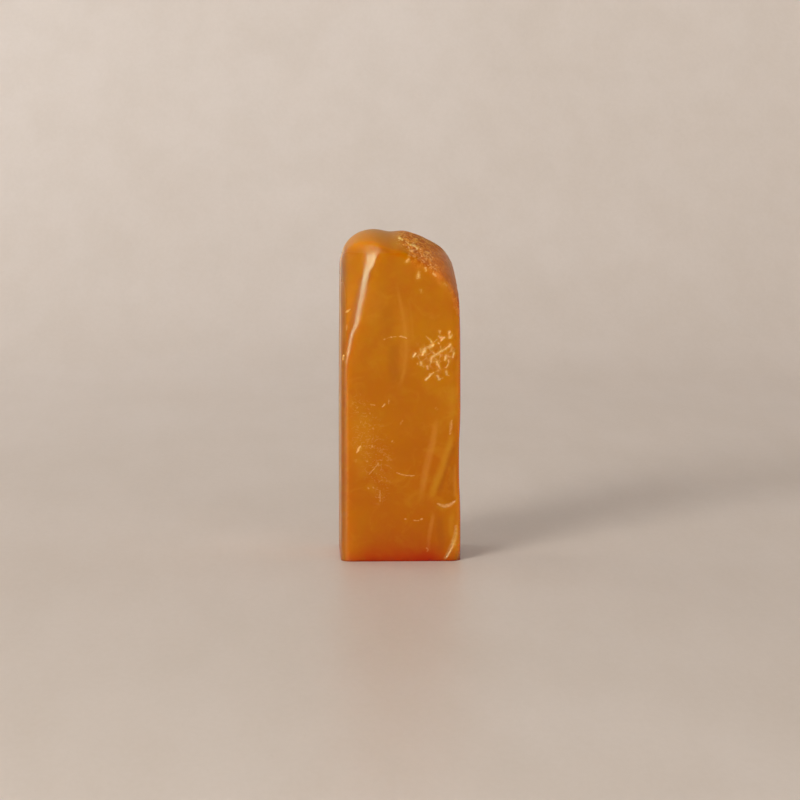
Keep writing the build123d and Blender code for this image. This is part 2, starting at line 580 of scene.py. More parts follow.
# %% Pits, cracks and crystals
pits = [
    ([(449.3, 331, 0.9), (448.8, 334, 0.9), (449.6, 337, 1.3)], 0.9),
    ([(452, 334.5, 0.8), (451.2, 336.5, 0.8)], 0.4),
    ([(439.4, 331, 1.3), (439.6, 333, 1)], 0.35),
    ([(439, 336.2, 0.7), (441.8, 338, 1.4), (443.6, 337.3, 1)], 1),
    ([(441.8, 338, 1.3), (440.5, 340.7, 0.7)], 0.95),
    ([(438, 343, 0.9), (438.8, 343.6, 0.8)], 0.75),
    ([(426.1, 336.6, 0.5), (431, 340.8, 0.8)], 0.5),
    ([(431, 341, 0.8), (432.4, 344.5, 1.5), (430, 346.6, 1.5), (427.8, 347.2, 1)], 0.95),
    ([(432.4, 343.2, 0.6), (437.3, 339.5, 0.5)], 0.35),
    ([(424.9, 347.8, 1.1), (423.2, 350.7, 1.7), (421.6, 355.2, 1)], 0.85),
    ([(420.4, 349.7, 1.2), (420.8, 352.3, 1)], 0.4),
    ([(414.6, 353.2, 1.2), (412.7, 356.3, 1.2)], 0.85),
    ([(449.8, 344.4, 1.1), (448.1, 346.9, 0.9), (445.6, 348.6, 0.7), (442.3, 350.7, 0.7), (438.2, 352.8, 0.8),
      (434, 355.7, 0.8), (431.5, 357.3, 1.1), (430.3, 359.8, 1), (430.9, 361.8, 0.6)], 0.85),
    ([(433.2, 352.4, 1), (434.4, 354, 0.9)], 0.6),
    ([(440.2, 346.5, 0.7), (441.5, 350.7, 0.6)], 0.4),
    ([(453.7, 352.6, 0.8), (452.3, 357.2, 0.7)], 0.85),
    ([(445.4, 355.4, 1), (444.8, 359.6, 0.9)], 0.8),
    ([(448.5, 360.2, 0.8), (448.1, 364, 0.7), (446.5, 367.3, 0.6), (444.6, 367.5, 0.5)], 0.55),
    ([(436.3, 362, 1.1), (437.8, 364.8, 0.9), (439.6, 368, 0.9)], 0.95),
    ([(440.7, 361.5, 0.5), (439, 363.5, 0.5)], 0.4),
    ([(420.8, 361.9, 1.1), (420.8, 365.4, 0.9)], 0.7),
    ([(417.2, 363.1, 0.7), (417.7, 364, 0.7)], 0.4),
    ([(422.8, 366.2, 0.9), (423.8, 367.4, 0.8)], 0.3),
    ([(427.5, 366, 1), (427.3, 369, 0.8)], 0.7),
    ([(433.6, 372.8, 0.6), (429.9, 374.3, 1), (428.2, 376.8, 1.1), (425.5, 379.6, 0.8)], 0.75),
    ([(435.7, 371.4, 0.6), (438.2, 369.8, 0.6)], 0.35),
    ([(445.8, 371.4, 1.1), (446.7, 374.5, 1)], 0.65),
    ([(447, 374.6, 0.6), (449.4, 375.3, 0.6)], 0.35),
    ([(437.5, 376.4, 1.2), (439.3, 379.2, 1.1)], 0.7),
    ([(440, 378.6, 0.6), (442.8, 378, 0.6)], 0.35),
]
cracks = [
    ([(384.2, 339.6, 0.8), (384.8, 339, 0.7)], 0.7),
    ([(384.8, 339, 0.45), (391.2, 337, 0.45)], 0.25),
    ([(390.8, 336.8, 0.8), (391.8, 337.1, 0.8)], 0.75),
    ([(391.2, 337, 0.5), (400.4, 336.4, 0.5)], 0.4),
    ([(399.6, 336.6, 0.7), (403.5, 337.1, 0.8), (406.6, 338.1, 0.7)], 0.85),
    ([(346.2, 312, 0.8), (348.2, 310.6, 1.1), (350.2, 309.2, 0.6)], 0.95),
    ([(346.7, 325.3, 1), (346.6, 329.2, 1)], 0.35),
    ([(343.6, 355.4, 0.9), (343, 359.6, 0.9)], 1),
    ([(360.4, 446, 0.8), (358.6, 449, 1.3), (356.7, 452.6, 0.8)], 1),
    ([(371, 404.4, 0.7), (375, 405.2, 0.7)], 0.5),
    ([(382.4, 406.8, 0.7), (384.8, 404.4, 1)], 0.85),
    ([(388.9, 399.8, 0.7), (388.4, 404.2, 0.6)], 0.45),
    ([(401.8, 420.3, 0.7), (401.6, 424, 0.7)], 0.5),
    ([(392.3, 441.6, 0.8), (393, 442.3, 0.8)], 0.6),
    ([(371.9, 446, 0.8), (372.6, 446.7, 0.8)], 0.6),
    ([(366.8, 440, 0.7), (367.3, 441, 0.7)], 0.35),
    ([(378.4, 463.6, 0.5), (377.2, 464.8, 0.6), (373, 470, 0.6), (369.4, 473.8, 0.5)], 0.5),
    ([(378, 462.6, 0.8), (378.8, 466, 0.7)], 0.4),
    ([(396.7, 473, 0.6), (405, 475.3, 0.7), (414.3, 475.9, 0.6)], 0.55),
    ([(379.6, 490.6, 0.5), (380, 497, 0.7), (380.4, 501.8, 0.5)], 0.5),
    ([(368.1, 487.7, 0.9), (369, 488.7, 0.8)], 0.6),
    ([(373, 487.2, 0.7), (373.8, 487.9, 0.7)], 0.4),
    ([(405, 519.1, 0.9), (406, 519.3, 0.8)], 0.6),
    ([(413.8, 520.3, 0.6), (418.9, 520.4, 0.6)], 0.5),
    ([(420.9, 519.2, 1), (421.9, 519, 0.9)], 0.95),
    ([(434.6, 407, 0.6), (439.4, 410.7, 0.6)], 0.3),
    ([(355.2, 460.4, 0.8), (356, 460.8, 0.8)], 0.4),
    ([(366.7, 460.9, 0.9), (367.5, 461.5, 0.9)], 0.4),
    ([(390.7, 460, 0.8), (391.7, 460, 0.8)], 0.35),
    ([(426.4, 547.8, 0.7), (428.4, 549.4, 0.7), (427.2, 551.4, 0.7)], 0.35),
    ([(437.5, 503.6, 1), (441, 505.4, 1.7), (445, 506, 2.1), (449.5, 504.8, 1.9), (454.5, 501.2, 1)], 0.6),
    ([(451.6, 421, 1.4), (451, 427, 1.7), (450.4, 434, 1.2)], 0.45),
    ([(456, 526, 1.5), (455.4, 535, 2.6), (452.8, 544, 3.2), (448.6, 552, 2.6), (445, 558, 1.6)], 0.5),
]
crystals = [
    ([(399.3, 238, 1), (401.6, 239.2, 1.2)], 0.95),
    ([(402.6, 233.2, 0.9), (405.2, 232.6, 0.7)], 0.45),
    ([(406.4, 241.6, 0.9), (408.2, 243.4, 0.9)], 0.7),
    ([(410.2, 244.8, 1), (413.6, 245.6, 1.2)], 1),
    ([(414.9, 245.8, 0.9), (417.8, 248.2, 1.2)], 1),
    ([(410.2, 250.4, 1.1), (413.2, 251, 1.2)], 0.75),
    ([(416, 238.5, 0.8), (417, 238.8, 0.8)], 0.6),
    ([(409, 255.3, 1), (410, 256.2, 0.9)], 0.35),
    ([(413.4, 256, 0.9), (415, 256.6, 0.8)], 0.35),
    ([(406.8, 261.2, 1.2), (408.8, 259.2, 1.2)], 0.8),
    ([(424, 255.2, 1), (425, 256.8, 0.8)], 0.5),
    ([(426.8, 252, 0.9), (429.2, 253.6, 0.9)], 0.5),
    ([(430, 257.8, 1), (430.6, 261.2, 0.9)], 0.5),
    ([(424, 260.6, 0.9), (423.8, 262, 0.9)], 0.4),
    ([(430.6, 264.8, 0.9), (431.4, 266.6, 0.8)], 0.4),
    ([(425.4, 268, 1.1), (426, 270.6, 0.9)], 0.65),
    ([(418.6, 272.2, 1.2), (418.2, 277.6, 1.5)], 0.7),
    ([(432.8, 273.4, 0.9), (435.8, 275.8, 1.1)], 0.65),
    ([(444.8, 283.8, 0.9), (446.6, 285.6, 0.9)], 0.35),
    ([(420.8, 289.8, 0.9), (421.8, 291.8, 0.9)], 0.4),
]
pit_depth = 0.20
crack_depth = 0.08
crystal_height = 0.08
marked_depth = (6.5, 2.5)
crystal_zone_depth = 15.5
web_size = 1.3
web_depth = 0.05
web_seam = 0.22
web_gap_size = 1.6
web_field = [([(420, 352, 14), (436, 358, 20), (448, 352, 12)], 1.0)]


def web_at(places):
    """The seams between cells of noise, only around the pits: 1 in a seam, 0 inside a cell."""
    field = marks_at(places, web_field)
    seam = np.zeros(len(places))
    for number in np.flatnonzero(field > 0.01):
        nearest, second = noise.voronoi(Vector(places[number]) / web_size)[0][:2]
        seam[number] = 1 - min((second - nearest) / web_seam, 1)
    return seam * field * np.clip(0.4 + noise_at(places, web_gap_size, 9.9), 0, 1)


def front_marks(piece):
    """How strongly each vertex is marked by a pit, a crack, a crystal or the web: four rows of numbers."""
    places = places_of(piece)
    front = smooth_step(behind_front(places), *marked_depth) * facing_camera(places, normals_of(piece))
    crown = behind_front(places) < crystal_zone_depth
    return (marks_at(places, pits, raggedness=0.8, wider=1.6) * front,
            marks_at(places, cracks, raggedness=0.5, wider=1.2) * front,
            marks_at(places, crystals, raggedness=0.7, wider=1.6) * crown,
            web_at(places) * front)


pit, crack, crystal, web = front_marks(stone)
carve(stone, pit_depth * pit + crack_depth * crack + web_depth * web - crystal_height * crystal)
print(len(pits), "pits,", len(cracks), "cracks and bruises,", len(crystals), "crystals")

# %% [markdown]
# A seal that has been used for years is knocked at the corners of its foot and here and there along its
# edges. The knocks are round dents at seeded random spots, so that every side of the block has some.

# %% Worn corners and knocked edges
corner_wear = 0.5
corner_wear_size = 2.5
corner_wear_height = 3.2
corner_sum = (22.6, 24.4)
upright_edge = (11.0, 11.9)
foot_edge = (0.5, 0.1)
cut_off_below = -0.2
knock_count = 46
knock_depth = 0.16
knock_radii = (0.3, 0.9)
knock_shares = (0.3, 1.0)
knock_slope = (1, 0.1)
on_edge = 0.8

places = places_of(stone)
cornerness = smooth_step(np.abs(places[:, 0]) + np.abs(places[:, 1]), *corner_sum)
patchy = 0.7 + 0.5 * noise_at(places, corner_wear_size, 6.6)
carve(stone, corner_wear * cornerness * smooth_step(places[:, 2], corner_wear_height, 0.0) * patchy)

chance = np.random.default_rng(7)
places = places_of(stone)
edge_share = smooth_step(np.abs(places[:, :2]).min(axis=1), *upright_edge)
foot_share = smooth_step(places[:, 2], *foot_edge) * (places[:, 2] > cut_off_below)
spots = places[chance.choice(np.flatnonzero(edge_share + foot_share > on_edge), knock_count, replace=False)]
dents = np.zeros(len(places))
for spot in spots:
    radius = chance.uniform(*knock_radii)
    deepest = knock_depth * radius * chance.uniform(*knock_shares)
    away = np.linalg.norm(places - spot, axis=1) / radius
    dents = np.maximum(dents, deepest * smooth_step(away, *knock_slope))
carve(stone, dents)
print(knock_count, "knocks, the deepest", round(dents.max(), 2), "mm")

# %% [markdown]
# ## The carved foot
# A seal is carved into its foot: the ground between the strokes is cut away, so that border and strokes
# stand proud and carry the paste. The skin is cut flat at the floor, and the CAD film of paste, which
# has the outline of the sunk ground, serves as the cutting tool once its lower side is pulled down. The
# carved faces are then shaded flat, because smooth shading would smear light across their sharp edges.

# %% Cut the foot flat and carve it
cutter_reach = 1.0
sharper_than = math.radians(50)
inside_border = 10.9
deeper_than_relief = 1.1
on_floor = 0.001

edit(stone)
bpy.ops.mesh.select_all(action="SELECT")
bpy.ops.mesh.bisect(plane_co=(0, 0, 0), plane_no=(0, 0, 1), clear_inner=True, use_fill=True, threshold=hair)
done()

cutter = merged_copy("seal_paste", "carving_cutter")
places = places_of(cutter)
middle = (places[:, 2].min() + places[:, 2].max()) / 2
places[places[:, 2] < middle, 2] = -cutter_reach
move_to(cutter, places)
apply_modifier(stone, "BOOLEAN", object=cutter, operation="DIFFERENCE", solver="EXACT")
bpy.data.objects.remove(cutter)

low, high = [np.array(corner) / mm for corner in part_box("seal_stone")]
move_to(stone, np.clip(places_of(stone), low, high))
only(stone)
bpy.ops.object.shade_smooth_by_angle(angle=sharper_than)
centres = face_centres_of(stone)
carved = (np.abs(centres[:, :2]).max(axis=1) < inside_border) & (centres[:, 2] < deeper_than_relief)
edit(stone, "FACE", carved | (centres[:, 2] < on_floor))
bpy.ops.mesh.faces_shade_flat()
done()
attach(stone, "root")
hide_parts("seal_stone")
print("finished block:", triangles_in(stone), "triangles")

# %% [markdown]
# ## Painting by place
# The material needs to know where the rind and the broken spots are, so both are painted on the finished
# mesh as attributes, which are one number for each vertex. The broken spots are pale partly for the broken
# stone and partly as painted highlights on the pits' rims and painted glints on the crystals. The milky
# ribbons inside the stone and the golden and darker bands are painted the same way, because they run in
# curves that no noise would give. One ribbon is a painted highlight along the front left edge, some golden
# bands are painted light on the facet's raised edge and the flake's lip, and most darker bands are painted
# shade. Every pit and crystal also gets a golden halo, where the broken stone around it scatters the light,
# and a field of painted glints lies along the rind's edge.

# %% Paint the masks
ribbons_and_highlight = [
    ([(396, 280, 2), (399, 296, 2.4), (402, 310, 2.8), (405, 328, 3.4), (406.5, 350, 3.6), (404, 372, 3.4),
      (398, 392, 3)], 0.45),
    ([(408, 296, 2), (412, 320, 2), (413, 346, 2.5)], 0.15),
    ([(437, 416, 3.5), (433, 440, 5), (428, 460, 5.5), (424, 478, 5), (421, 500, 4)], 0.5),
    ([(434, 512, 3), (431, 526, 3.2), (428.5, 540, 3.2), (428.5, 554, 2.5)], 0.6),
    ([(455, 462, 2.2), (454.5, 480, 2.5), (455, 500, 2.2)], 0.45),
    # a painted highlight: the thin light line along the front left edge
    ([(347.4, 372, 1), (347.2, 470, 1.2), (347, 556, 1)], 0.5),
    ([(402, 300, 7), (406, 340, 8), (402, 380, 7)], 0.25),
]
# Golden bands. The first and the third are painted light on the raised side of the facet's edge, and the
# second is a painted highlight on the flake's lip.
golden_and_lit_bands = [
    ([(454, 428, 4), (449, 448, 5.5), (442, 468, 6), (434, 488, 5.5), (430, 504, 5)], 1),
    ([(452, 510, 5), (451, 530, 4.5), (457, 548, 5), (457, 560, 4)], 0.8),
    ([(456, 384, 5), (452, 410, 6), (450, 430, 5)], 0.55),
    ([(374, 278, 14), (372, 300, 14), (368, 330, 13)], 0.45),
    ([(360, 405, 12), (362, 440, 15), (362, 480, 12)], 0.4),
]
# Darker bands. Most are painted shade: along the facet's edge (the first and the sixth), under the long
# reflection down the broad corner (the third), under the crown (the fourth), in the flake's hollow (the
# fifth) and along the front left edge (the seventh).
dark_and_shade_bands = [
    ([(457, 441, 3), (452.5, 450, 4), (448, 464, 4), (445, 474, 3), (440.5, 488, 4), (438.5, 498, 3)], 0.6),
    ([(394, 340, 9), (393, 362, 9), (396, 386, 8)], 0.4),
    ([(371, 262, 7), (363, 284, 7), (357, 306, 7), (351, 332, 6), (346, 356, 5)], 1),
    ([(344, 252, 3), (352, 245, 3.5), (361, 244, 3.5), (369, 246, 3.5), (379, 249, 3.5), (392, 252, 3)], 0.8),
    ([(440, 514, 5), (440, 530, 6), (442, 544, 6), (438, 556, 4)], 0.55),
    ([(452, 462, 4), (450, 480, 5), (452, 494, 4)], 0.3),
    ([(343.6, 330, 1.6), (343.6, 440, 1.6), (343.6, 558, 1.6)], 1),
    ([(385, 300, 10), (388, 330, 12), (389, 350, 12)], 0.3),
]
# where painted glints lie along the rind's edge
glint_field = [([(398, 237, 7), (411, 246, 10), (426, 257, 10), (436, 270, 6)], 1.0)]
speckled_field = [([(360, 402, 14), (366, 430, 24), (376, 460, 24), (380, 496, 12)], 1.0)]
painted_depth = (4.5, 1.5)
front_half_depth = (16.5, 12.5)
rind_paint_fade = (-9, 12)


def paint(piece, name, values):
    """Stores one number for each vertex under this name."""
    attribute = piece.data.attributes.new(name, "FLOAT", "POINT")
    attribute.data.foreach_set("value", np.asarray(values, np.float32))


places = places_of(stone)
front = smooth_step(behind_front(places), *painted_depth)
front_half = smooth_step(behind_front(places), *front_half_depth)
pit, crack, crystal, web = front_marks(stone)
halo = 0.9 * marks_at(places, pits + crystals, raggedness=0.8, wider=4.0) * front_half
golden_and_painted_light = marks_at(places, golden_and_lit_bands, raggedness=1.0, soft_ends=True) * front
paint(stone, "rind", in_rind(places, rind_paint_fade))
# pale pits, cracks, crystals and web: broken stone, partly painted highlights on rims and painted glints
paint(stone, "broken_and_glinting", np.maximum.reduce([0.9 * pit, 0.8 * crack, crystal, 0.5 * web]))
# painted glints along the rind's edge
paint(stone, "painted_glints", marks_at(places, glint_field, raggedness=2.0) * front_half)
# golden bands, partly painted light, together with the golden halos
paint(stone, "golden_and_painted_light", np.maximum(golden_and_painted_light, halo))
# milky ribbons, and one painted highlight line along the front left edge
paint(stone, "ribbon_and_highlight", marks_at(places, ribbons_and_highlight, raggedness=0.6, soft_ends=True) * front)
# the darker bands, most of them painted shade
paint(stone, "dark_and_painted_shade", marks_at(places, dark_and_shade_bands, raggedness=1.0, soft_ends=True) * front)
paint(stone, "speckled", marks_at(places, speckled_field, raggedness=1.0) * front)
print("painted:", [attribute.name for attribute in stone.data.attributes if attribute.data_type == "FLOAT"])

# %% [markdown]
# ## Writing materials as sums
# A procedural material is a graph of small nodes. Long sums are easier to read as Python, so a wire from
# a node is wrapped in a class whose operators add the Math nodes. Colours are written as they look on the
# screen, from 0 to 255, and turned into amounts of light on the way in.

# %% Wires and finishes
class Wire:
    """The output of a shader node, on which sums can be written."""

    def __init__(self, finish, socket):
        self.finish = finish
        self.socket = socket

    def maths(self, operation, *values):
        return self.finish.node("ShaderNodeMath", {"operation": operation}, values)

    def __add__(self, other):
        return self.maths("ADD", self, other)

    def __rsub__(self, other):
        return self.maths("SUBTRACT", other, self)

    def __mul__(self, other):
        return self.maths("MULTIPLY", self, other)

    def __truediv__(self, other):
        return self.maths("DIVIDE", self, other)

    def __rpow__(self, other):
        return self.maths("POWER", other, self)

    def __neg__(self):
        return self.maths("MULTIPLY", self, -1)

    def __abs__(self):
        return self.maths("ABSOLUTE", self)

    __radd__ = __add__

    def smaller(self, other):
        """The smaller of two numbers."""
        return self.maths("MINIMUM", self, other)

    def step(self, start, end):
        """Rises from 0 at start to 1 at end, with soft ends."""
        sockets = {"Value": self, "From Min": start, "From Max": end}
        return self.finish.node("ShaderNodeMapRange", {"interpolation_type": "SMOOTHSTEP"}, sockets)


class Finish:
    """A new material, built node by node."""

    def __init__(self, name):
        self.material = bpy.data.materials.new(name)
        self.material.use_nodes = True
        self.tree = self.material.node_tree
        self.tree.nodes.clear()

    def node(self, kind, settings=None, sockets=None, output=0):
        """Adds a node: its settings come first, then the values or wires of its sockets."""
        made = self.tree.nodes.new(kind)
        for name, value in (settings or {}).items():
            setattr(made, name, value)
        pairs = sockets.items() if isinstance(sockets, dict) else enumerate(sockets or ())
        for name, value in pairs:
            if isinstance(value, Wire):
                self.tree.links.new(value.socket, made.inputs[name])
            else:
                made.inputs[name].default_value = value
        return Wire(self, made.outputs[output]) if made.outputs else None

    def place(self):
        """The place on the piece, in millimetres."""
        metres = self.node("ShaderNodeTexCoord", output="Object")
        return self.node("ShaderNodeVectorMath", {"operation": "SCALE"}, {0: metres, "Scale": 1 / mm})

    def along(self, place, axis):
        """How far the place lies along one axis, in millimetres."""
        return self.node("ShaderNodeSeparateXYZ", None, [place], output=axis)

    def stretched(self, place, stretch):
        """The place, drawn out along the axes, so that noise on it is drawn out too."""
        return self.node("ShaderNodeVectorMath", {"operation": "DIVIDE"}, [place, stretch])

    def noise(self, place, size, detail=2.0, roughness=0.5, distortion=0.0):
        """Smooth noise from 0 to 1, with features of this size in millimetres."""
        sockets = {
            "Vector": place, "Scale": 1 / size, "Detail": detail, "Roughness": roughness,
            "Distortion": distortion,
        }
        return self.node("ShaderNodeTexNoise", None, sockets)

    def mix(self, share, first, second):
        """A colour between the first, at share 0, and the second, at share 1."""
        sockets = {0: share, 6: colour_of(first), 7: colour_of(second)}
        return self.node("ShaderNodeMix", {"data_type": "RGBA"}, sockets, output=2)

    def layered(self, colour, *layers):
        """Lays colours over the first one, each with its own share."""
        for share, layer in layers:
            colour = self.mix(share, colour, layer)
        return colour

    def painted(self, name):
        """The numbers painted on the mesh under this name."""
        return self.node("ShaderNodeAttribute", {"attribute_name": name}, output="Fac")

    def near(self, place, centre, reach):
        """1 at a centre, falling softly to 0 at this reach, all in millimetres."""
        away = self.node("ShaderNodeVectorMath", {"operation": "DISTANCE"}, [place, centre], output="Value")
        return 1 - away.step(0.0, reach)

    def surface(self, sockets):
        """Ends the material in a Principled shader with these sockets."""
        shader = self.node("ShaderNodeBsdfPrincipled", None, sockets)
        self.node("ShaderNodeOutputMaterial", None, {"Surface": shader})
        return self.material


def colour_of(value):
    """A wire as it is, or a screen colour from 0 to 255 as the light it stands for."""
    if isinstance(value, Wire):
        return value
    shares = [channel / 255 for channel in value]
    linear = [s / 12.92 if s <= 0.04045 else ((s + 0.055) / 1.055) ** 2.4 for s in shares]
    return (*linear, 1.0)


# %% [markdown]
# ## The stone's finish
# Light enters such a stone, scatters and leaves again a few millimetres away, red light farthest. That is
# subsurface scattering. The colour is built up in layers, from large soft clouds to fine wisps, in three
# dimensions, so that it runs through the block and matches at every corner. Some light and shade is also
# painted into the colour: painted light brightens the crown and the right front edge, painted shade darkens
# the top left of the dome and makes the left side browner, and a pale line along the left side is a painted
# highlight. Towards the foot a painted glow stands for the paste's red shining through, most in the middle
# of each side, where the carved ground lies behind.

# %% Layers of the stone's colour
honey = (177, 109, 0)
amber = (171, 98, 0)
deep_amber = (167, 89, 0)
gold = (186, 124, 22)
# painted shade on the top left of the dome
painted_dome_shade = (146, 86, 0)
# painted light: the crown is painted brighter
crown_painted_light = (186, 117, 8)
# painted shade that makes the left side browner
left_side_painted_shade = (112, 68, 20)
# a painted highlight: a pale line along the middle of the left side
left_painted_highlight = (208, 152, 84)
# painted light on the right front edge
right_edge_painted_light = (226, 140, 24)
# the colour of the darker bands, most of them painted shade
dark_and_shade_colour = (150, 82, 8)
# milky ribbons, and the colour of one painted highlight line along the front left edge
milky_and_highlight = (200, 134, 46)
# painted light: a glow for the paste's red shining through the foot
painted_paste_glow = (150, 34, 2)
# a brighter painted line of the same glow at the floor
painted_foot_glow = (180, 28, 0)
vermilion = (170, 30, 14)
rind_dark = (174, 78, 4)
rind_light = (228, 148, 52)
rind_blush = (214, 130, 62)
# pale broken stone and specks, and the colour of painted glints and highlights
chalk_and_glint = (238, 198, 122)
# painted shade along the back left edge
back_edge_painted_shade = (128, 74, 34)

deep_part = (3, -10, 14)
dome_shade_centre = (-13, -6, 62)
blushing_part = (11, -8, 60)
crown_light_from = (64.3, 66.8)
crown_dull_from = (63.3, 65.2)
held_until = (54.0, 61.0)
left_side_from = (10.7, 11.9)
left_highlight_from = (-3.0, -1.5)
left_highlight_until = (4.0, 5.5)
right_light_from = (10.9, 12.2)
right_light_depth = (7.0, 12.0)
glow_height = 4.5
glow_fades = (5.5, 12.0)
foot_line_height = 1.5
foot_line_fades = (11.0, 12.4)
rim_fades = (0.05, 0.35)
back_left_shade_from = (11.9, 12.3)
back_left_shade_depth = (4.0, 7.5)


def left_side_of(finish, place):
    """1 on the left side of the block, 0 elsewhere."""
    return (-finish.along(place, "X")).step(*left_side_from)


def body_and_painted_bands(finish, place):
    """The clouds, wisps, mottle and speckles inside the stone and its milky lines, with painted bands over
    them: lighter ones that are partly painted light and darker ones that are mostly painted shade.
    """
    clouds = finish.noise(place, size=14.0, detail=2.0, roughness=0.5, distortion=0.5)
    wisps = finish.noise(place, size=4.5, detail=4.0, roughness=0.6, distortion=1.2)
    mottle = finish.noise(place, size=1.1, detail=4.0, roughness=0.7)
    lengthwise = finish.stretched(place, (1.0, 1.0, 0.7))
    speckle = finish.noise(lengthwise, size=1.3, detail=3.0, roughness=0.6, distortion=2.0)
    return finish.layered(
        amber,
        (clouds.step(0.36, 0.64), honey),
        (finish.near(place, deep_part, reach=26) * 0.7, deep_amber),
        (wisps.step(0.45, 0.75) * 0.40, gold),
        (mottle.step(0.45, 0.75) * 0.20, deep_amber),
        # golden bands, partly painted light, and the golden halos around pits and crystals
        (finish.painted("golden_and_painted_light") * 0.7, gold),
        # darker bands, most of them painted shade
        (finish.painted("dark_and_painted_shade") * 0.8, dark_and_shade_colour),
        # milky ribbons, and one painted highlight line
        (finish.painted("ribbon_and_highlight") * 0.8, milky_and_highlight),
        (finish.painted("speckled") * speckle.step(0.52, 0.74) * 0.24, chalk_and_glint),
    )


def with_crown_and_sides(finish, place, colour):
    """Adds painted shade on the top left of the dome, painted light on the crown, painted shade on the left
    side with a painted highlight line along it, and painted light on the right front edge.
    """
    across, back, height = [finish.along(place, axis) for axis in "XYZ"]
    polished = 1 - finish.painted("rind")
    left_side = left_side_of(finish, place)
    # where the painted highlight line runs along the left side
    wobbly_depth = back + finish.noise(finish.stretched(place, (1, 1, 6)), size=4.0, detail=2.0) * 4
    left_highlight_band = left_side * wobbly_depth.step(*left_highlight_from) * (1 - wobbly_depth.step(*left_highlight_until))
    # painted light on the right front edge
    right_edge_light = across.step(*right_light_from) * (-back).step(*right_light_depth)
    return finish.layered(
        colour,
        # painted shade on the top left of the dome
        (finish.near(place, dome_shade_centre, reach=14) * 0.5, painted_dome_shade),
        # painted light on the crown
        (height.step(*crown_light_from) * polished * 0.9, crown_painted_light),
        # painted shade on the left side
        (left_side * 0.6, left_side_painted_shade),
        (left_highlight_band * 0.9, left_painted_highlight),
        (right_edge_light * 0.7, right_edge_painted_light),
    )


def with_painted_paste_glow(finish, place, colour):
    """Adds the red of the paste: painted light for its red shining through the foot, a brighter painted line
    at the floor, and the red that the paste left on the rim.
    """
    across, back, height = [finish.along(place, axis) for axis in "XYZ"]
    inwards = abs(across).smaller(abs(back))
    not_left = 1 - left_side_of(finish, place) * 0.6
    glow_patches = finish.noise(place, size=5.0, detail=2.0) * not_left
    # painted light: the paste's red shining through, painted into the colour in patches
    painted_glow = math.e ** (-height / glow_height) * (1 - inwards.step(*glow_fades)) * (glow_patches * 0.9 + 0.45)
    # a brighter painted line of it at the floor
    line = math.e ** (-height / foot_line_height) * (1 - inwards.step(*foot_line_fades)) * not_left
    rim = 1 - height.step(*rim_fades)
    return finish.layered(colour, (painted_glow, painted_paste_glow), (line * 0.7, painted_foot_glow), (rim * 0.5, vermilion))


def with_rind_glints_and_shade(finish, place, colour):
    """Adds the rind, painted glints along its edge, the pale pits, cracks and crystals, partly painted
    highlights and glints, and painted shade at the back left edge.
    """
    skin = finish.noise(place, size=1.1, detail=5.0, roughness=0.65, distortion=0.6)
    small_noise = finish.noise(place, size=0.5, detail=2.0, roughness=0.6)
    patches = finish.noise(finish.stretched(place, (1, 1, 3)), size=2.4, detail=2.0)
    # painted shade along the back left edge, in patches
    back_left_shade = (-finish.along(place, "X")).step(*back_left_shade_from) * finish.along(place, "Y").step(*back_left_shade_depth)
    blushing = finish.near(place, blushing_part, reach=12)
    rind_colour = finish.layered(
        rind_dark, (skin.step(0.43, 0.60), rind_light), (blushing * 0.85, rind_blush))
    return finish.layered(
        colour,
        (finish.painted("rind") * 0.75, rind_colour),
        # painted glints
        (finish.painted("painted_glints") * small_noise.step(0.54, 0.66) * 0.6, chalk_and_glint),
        # pale broken spots, partly painted highlights and glints
        (finish.painted("broken_and_glinting") * (0.45 + small_noise.step(0.35, 0.65) * 0.5), chalk_and_glint),
        (back_left_shade * patches.step(0.35, 0.55) * 0.6, back_edge_painted_shade),
    )


# %% [markdown]
# Over the colour lies a waxed polish. It is duller where hands hold the stone, on the crown, on the rind and
# in the broken spots, and its reflections are tinted a little, as the photograph shows them. The reach of
# the scattering is a share of the light's three colours and one length for them all.

# %% Stone
scatter_reach = 7.0 * mm


def honey_stone():
    finish = Finish("honey_stone")
    place = finish.place()
    rind = finish.painted("rind")
    broken_and_glinting = finish.painted("broken_and_glinting")
    colour = body_and_painted_bands(finish, place)
    colour = with_crown_and_sides(finish, place, colour)
    colour = with_painted_paste_glow(finish, place, colour)
    colour = with_rind_glints_and_shade(finish, place, colour)

    height = finish.along(place, "Z")
    smears = finish.noise(place, size=7.0, detail=3.0)
    roughness = 0.08 + smears * 0.08 + (1 - height.step(*held_until)) * 0.10
    roughness = roughness + height.step(*crown_dull_from) * 0.34 + left_side_of(finish, place) * 0.12
    roughness = roughness + rind * 0.2 + broken_and_glinting * 0.2
    fine = finish.noise(place, size=0.35, detail=4.0, roughness=0.6)
    bump = finish.node("ShaderNodeBump", None, {
        "Strength": 0.35, "Distance": 0.06 * mm, "Height": fine * (0.10 + rind * 1.2 + broken_and_glinting * 0.6)})
    return finish.surface({
        "Base Color": colour,
        "Roughness": roughness,
        "Normal": bump,
        "IOR": 1.5,
        "Specular IOR Level": 0.28,
        "Specular Tint": (0.84, 1.0, 0.74, 1.0),
        "Subsurface Weight": 1.0,
        "Subsurface Radius": (1.0, 0.42, 0.12),
        "Subsurface Scale": scatter_reach,
    })


stone.data.materials.clear()
stone.data.materials.append(honey_stone())
print("stone finish:", len(stone.data.materials[0].node_tree.nodes), "nodes")

# %% [markdown]
# ## The paste
# Seal paste is ground cinnabar in oil. On the sunk ground of the carving it has dried to a dull, grainy
# film, so it needs no polish and no scattering, only two reds in fine grains.

# %% Paste
paste_dark = (150, 24, 16)
paste_light = (205, 60, 34)


